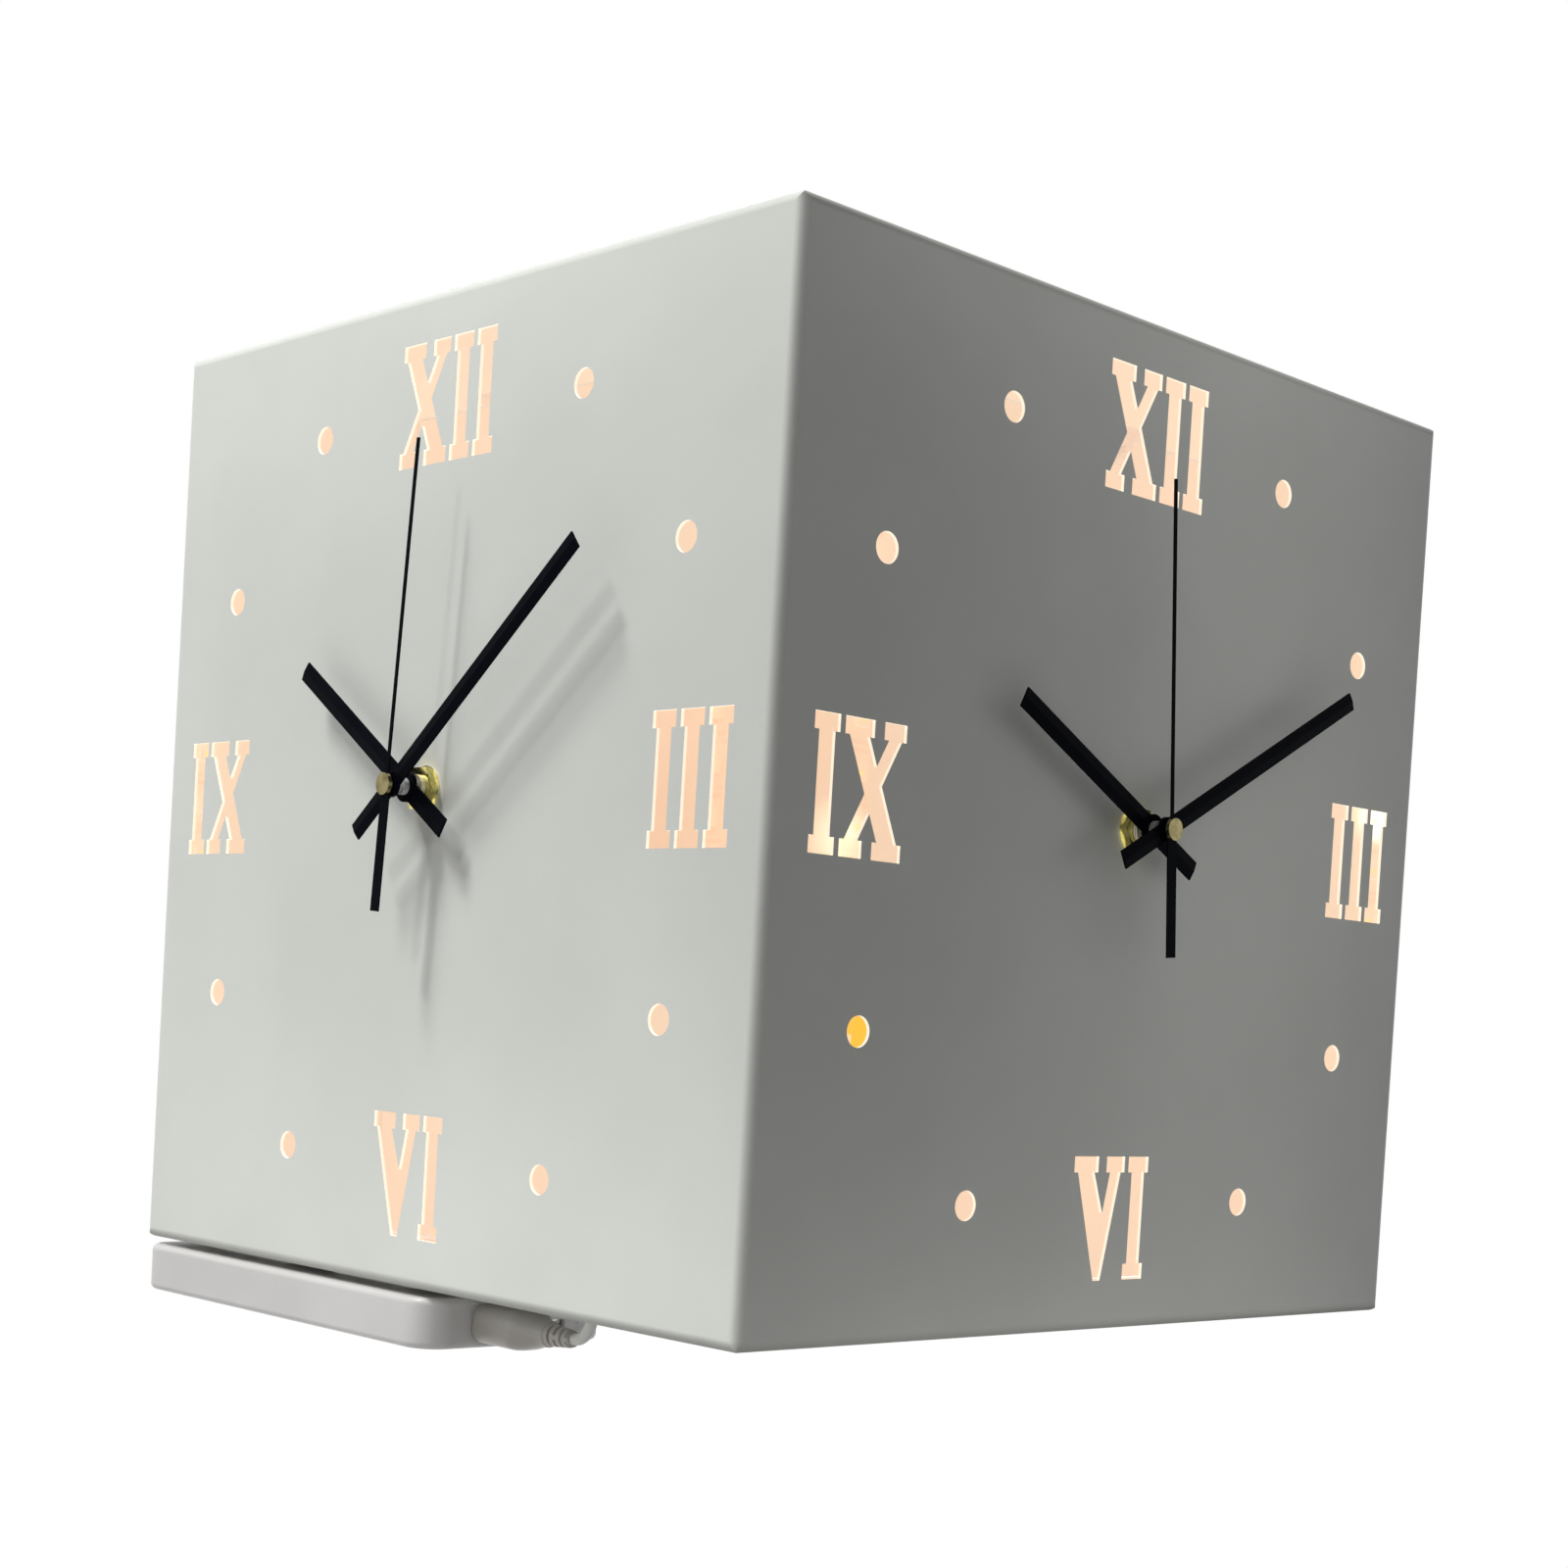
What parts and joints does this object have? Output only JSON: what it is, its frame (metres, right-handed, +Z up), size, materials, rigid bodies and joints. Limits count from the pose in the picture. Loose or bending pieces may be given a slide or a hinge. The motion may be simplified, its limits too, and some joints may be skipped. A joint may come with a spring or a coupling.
{
  "type": "wall clock",
  "caption": "Corner wall clock with a square dial on each of two faces, cut-out numerals lit from inside, quartz movements and a battery pack slung underneath.",
  "frame": {"origin": "the wall corner's upright edge, at the height of the housing's lower edge", "axes": "+Z up; the front dial faces -Y and its arm reaches towards -X; the side dial faces +X and its arm reaches towards +Y; the wall fills the quadrant of negative X and positive Y"},
  "size_m": [0.3053, 0.3053, 0.307],
  "materials": {
    "white_enamel": "satin powder coat, slightly pebbled",
    "zinc_steel": "zinc plated",
    "strip_film": "satin flexible film",
    "warm_light": "glowing phosphor",
    "wire_sheath": "satin insulation",
    "grommet_rubber": "matt",
    "hook_nylon": "hook tape",
    "loop_nylon": "loop tape",
    "pack_plastic": "satin moulded",
    "cell_foil": "satin pouch foil",
    "circuit_board": "solder mask",
    "socket_steel": "nickel plated",
    "indicator_lens": "frosted lens",
    "plug_plastic": "satin overmould",
    "lead_sheath": "satin sheath",
    "brass": "satin",
    "coil_winding": "enamelled copper wire",
    "stator_iron": "bare soft iron",
    "battery_label": "shrink sleeve",
    "movement_plastic": "satin moulded",
    "magnet": "sintered",
    "wheel_plastic": "natural acetal",
    "pipe_plastic": "satin acetal",
    "hand_lacquer": "satin black lacquer"
  },
  "bodies": {
    "clock": {"housing": "white_enamel", "mounting_tabs": "zinc_steel", "back_plate": "white_enamel", "cover_screws": "zinc_steel", "keyhole_hangers": "zinc_steel", "hanger_rivets": "zinc_steel", "light_strips": "strip_film", "light_chips": "warm_light", "link_wires": "wire_sheath", "lead_grommet": "grommet_rubber", "hook_pads": "hook_nylon", "loop_pads": "loop_nylon", "pack_case": "pack_plastic", "pack_lid": "pack_plastic", "pack_cell": "cell_foil", "pack_board": "circuit_board", "pack_sockets": "socket_steel", "pack_lights": "indicator_lens", "usb_plug_shell": "socket_steel", "usb_plug_body": "plug_plastic", "plug_strain_relief": "plug_plastic", "power_lead": "lead_sheath", "dial_washers": "brass", "dial_nuts": "brass", "movement_boards": "circuit_board", "drive_coils": "coil_winding", "drive_stators": "stator_iron", "battery_contacts": "socket_steel", "aa_cells": "battery_label", "front_movement_case": "movement_plastic", "front_movement_cover": "movement_plastic", "side_movement_case": "movement_plastic", "side_movement_cover": "movement_plastic"},
    "power_button": {"pack_button": "pack_plastic"},
    "front_seconds": {"front_seconds_wheel": "wheel_plastic", "front_second_hand": "hand_lacquer", "front_second_cap": "brass"},
    "front_intermediate": {"front_intermediate_wheel": "wheel_plastic"},
    "front_rotor": {"front_rotor": "magnet"},
    "front_third": {"front_third_wheel": "wheel_plastic"},
    "front_centre": {"front_centre_wheel": "wheel_plastic"},
    "front_minutes": {"front_minute_pipe": "pipe_plastic", "front_minute_hand": "hand_lacquer"},
    "front_minute_wheel": {"front_minute_wheel": "wheel_plastic"},
    "front_hours": {"front_hour_wheel": "pipe_plastic", "front_hour_hand": "hand_lacquer"},
    "front_knob": {"front_setting_knob": "wheel_plastic"},
    "side_seconds": {"side_seconds_wheel": "wheel_plastic", "side_second_hand": "hand_lacquer", "side_second_cap": "brass"},
    "side_intermediate": {"side_intermediate_wheel": "wheel_plastic"},
    "side_rotor": {"side_rotor": "magnet"},
    "side_third": {"side_third_wheel": "wheel_plastic"},
    "side_centre": {"side_centre_wheel": "wheel_plastic"},
    "side_minutes": {"side_minute_pipe": "pipe_plastic", "side_minute_hand": "hand_lacquer"},
    "side_minute_wheel": {"side_minute_wheel": "wheel_plastic"},
    "side_hours": {"side_hour_wheel": "pipe_plastic", "side_hour_hand": "hand_lacquer"},
    "side_knob": {"side_setting_knob": "wheel_plastic"}
  },
  "joints": [
    {"name": "power_button_press", "type": "slide", "parent": "clock", "child": "power_button", "axis": [0, -1, 0], "range_m": [0, 0.0006], "stiffness_N_per_m": 2500},
    {"name": "front_seconds_turn", "type": "hinge", "parent": "clock", "child": "front_seconds", "pos_m": [-0.05, -0.095, 0.145], "axis": [0, 1, 0], "continuous": true},
    {"name": "front_intermediate_turn", "type": "hinge", "parent": "clock", "child": "front_intermediate", "pos_m": [-0.0444, -0.095, 0.1547], "axis": [0, 1, 0], "continuous": true},
    {"name": "front_rotor_turn", "type": "hinge", "parent": "clock", "child": "front_rotor", "pos_m": [-0.03613, -0.095, 0.15616], "axis": [0, 1, 0], "continuous": true},
    {"name": "front_third_turn", "type": "hinge", "parent": "clock", "child": "front_third", "pos_m": [-0.05942, -0.095, 0.15044], "axis": [0, 1, 0], "continuous": true},
    {"name": "front_centre_turn", "type": "hinge", "parent": "clock", "child": "front_centre", "pos_m": [-0.05, -0.095, 0.145], "axis": [0, 1, 0], "continuous": true},
    {"name": "front_minutes_turn", "type": "hinge", "parent": "clock", "child": "front_minutes", "pos_m": [-0.05, -0.095, 0.145], "axis": [0, 1, 0], "continuous": true},
    {"name": "front_minute_wheel_turn", "type": "hinge", "parent": "clock", "child": "front_minute_wheel", "pos_m": [-0.04149, -0.095, 0.1435], "axis": [0, 1, 0], "continuous": true},
    {"name": "front_hours_turn", "type": "hinge", "parent": "clock", "child": "front_hours", "pos_m": [-0.05, -0.095, 0.145], "axis": [0, 1, 0], "continuous": true},
    {"name": "front_knob_turn", "type": "hinge", "parent": "clock", "child": "front_knob", "pos_m": [-0.03298, -0.095, 0.142], "axis": [0, 1, 0], "continuous": true},
    {"name": "side_seconds_turn", "type": "hinge", "parent": "clock", "child": "side_seconds", "pos_m": [0.095, 0.05, 0.145], "axis": [-1, 0, 0], "continuous": true},
    {"name": "side_intermediate_turn", "type": "hinge", "parent": "clock", "child": "side_intermediate", "pos_m": [0.095, 0.0556, 0.1547], "axis": [-1, 0, 0], "continuous": true},
    {"name": "side_rotor_turn", "type": "hinge", "parent": "clock", "child": "side_rotor", "pos_m": [0.095, 0.06387, 0.15616], "axis": [-1, 0, 0], "continuous": true},
    {"name": "side_third_turn", "type": "hinge", "parent": "clock", "child": "side_third", "pos_m": [0.095, 0.04058, 0.15044], "axis": [-1, 0, 0], "continuous": true},
    {"name": "side_centre_turn", "type": "hinge", "parent": "clock", "child": "side_centre", "pos_m": [0.095, 0.05, 0.145], "axis": [-1, 0, 0], "continuous": true},
    {"name": "side_minutes_turn", "type": "hinge", "parent": "clock", "child": "side_minutes", "pos_m": [0.095, 0.05, 0.145], "axis": [-1, 0, 0], "continuous": true},
    {"name": "side_minute_wheel_turn", "type": "hinge", "parent": "clock", "child": "side_minute_wheel", "pos_m": [0.095, 0.05851, 0.1435], "axis": [-1, 0, 0], "continuous": true},
    {"name": "side_hours_turn", "type": "hinge", "parent": "clock", "child": "side_hours", "pos_m": [0.095, 0.05, 0.145], "axis": [-1, 0, 0], "continuous": true},
    {"name": "side_knob_turn", "type": "hinge", "parent": "clock", "child": "side_knob", "pos_m": [0.095, 0.06702, 0.142], "axis": [-1, 0, 0], "continuous": true}
  ],
  "couplings": [
    {"joint": "front_intermediate_turn", "follows": "front_seconds_turn", "ratio": -6},
    {"joint": "front_rotor_turn", "follows": "front_seconds_turn", "ratio": 30},
    {"joint": "front_third_turn", "follows": "front_seconds_turn", "ratio": -0.13333},
    {"joint": "front_centre_turn", "follows": "front_seconds_turn", "ratio": 0.016667},
    {"joint": "front_minute_wheel_turn", "follows": "front_minutes_turn", "ratio": -0.33333},
    {"joint": "front_hours_turn", "follows": "front_minutes_turn", "ratio": 0.083333},
    {"joint": "front_knob_turn", "follows": "front_minutes_turn", "ratio": 1},
    {"joint": "side_intermediate_turn", "follows": "side_seconds_turn", "ratio": -6},
    {"joint": "side_rotor_turn", "follows": "side_seconds_turn", "ratio": 30},
    {"joint": "side_third_turn", "follows": "side_seconds_turn", "ratio": -0.13333},
    {"joint": "side_centre_turn", "follows": "side_seconds_turn", "ratio": 0.016667},
    {"joint": "side_minute_wheel_turn", "follows": "side_minutes_turn", "ratio": -0.33333},
    {"joint": "side_hours_turn", "follows": "side_minutes_turn", "ratio": 0.083333},
    {"joint": "side_knob_turn", "follows": "side_minutes_turn", "ratio": 1}
  ]
}
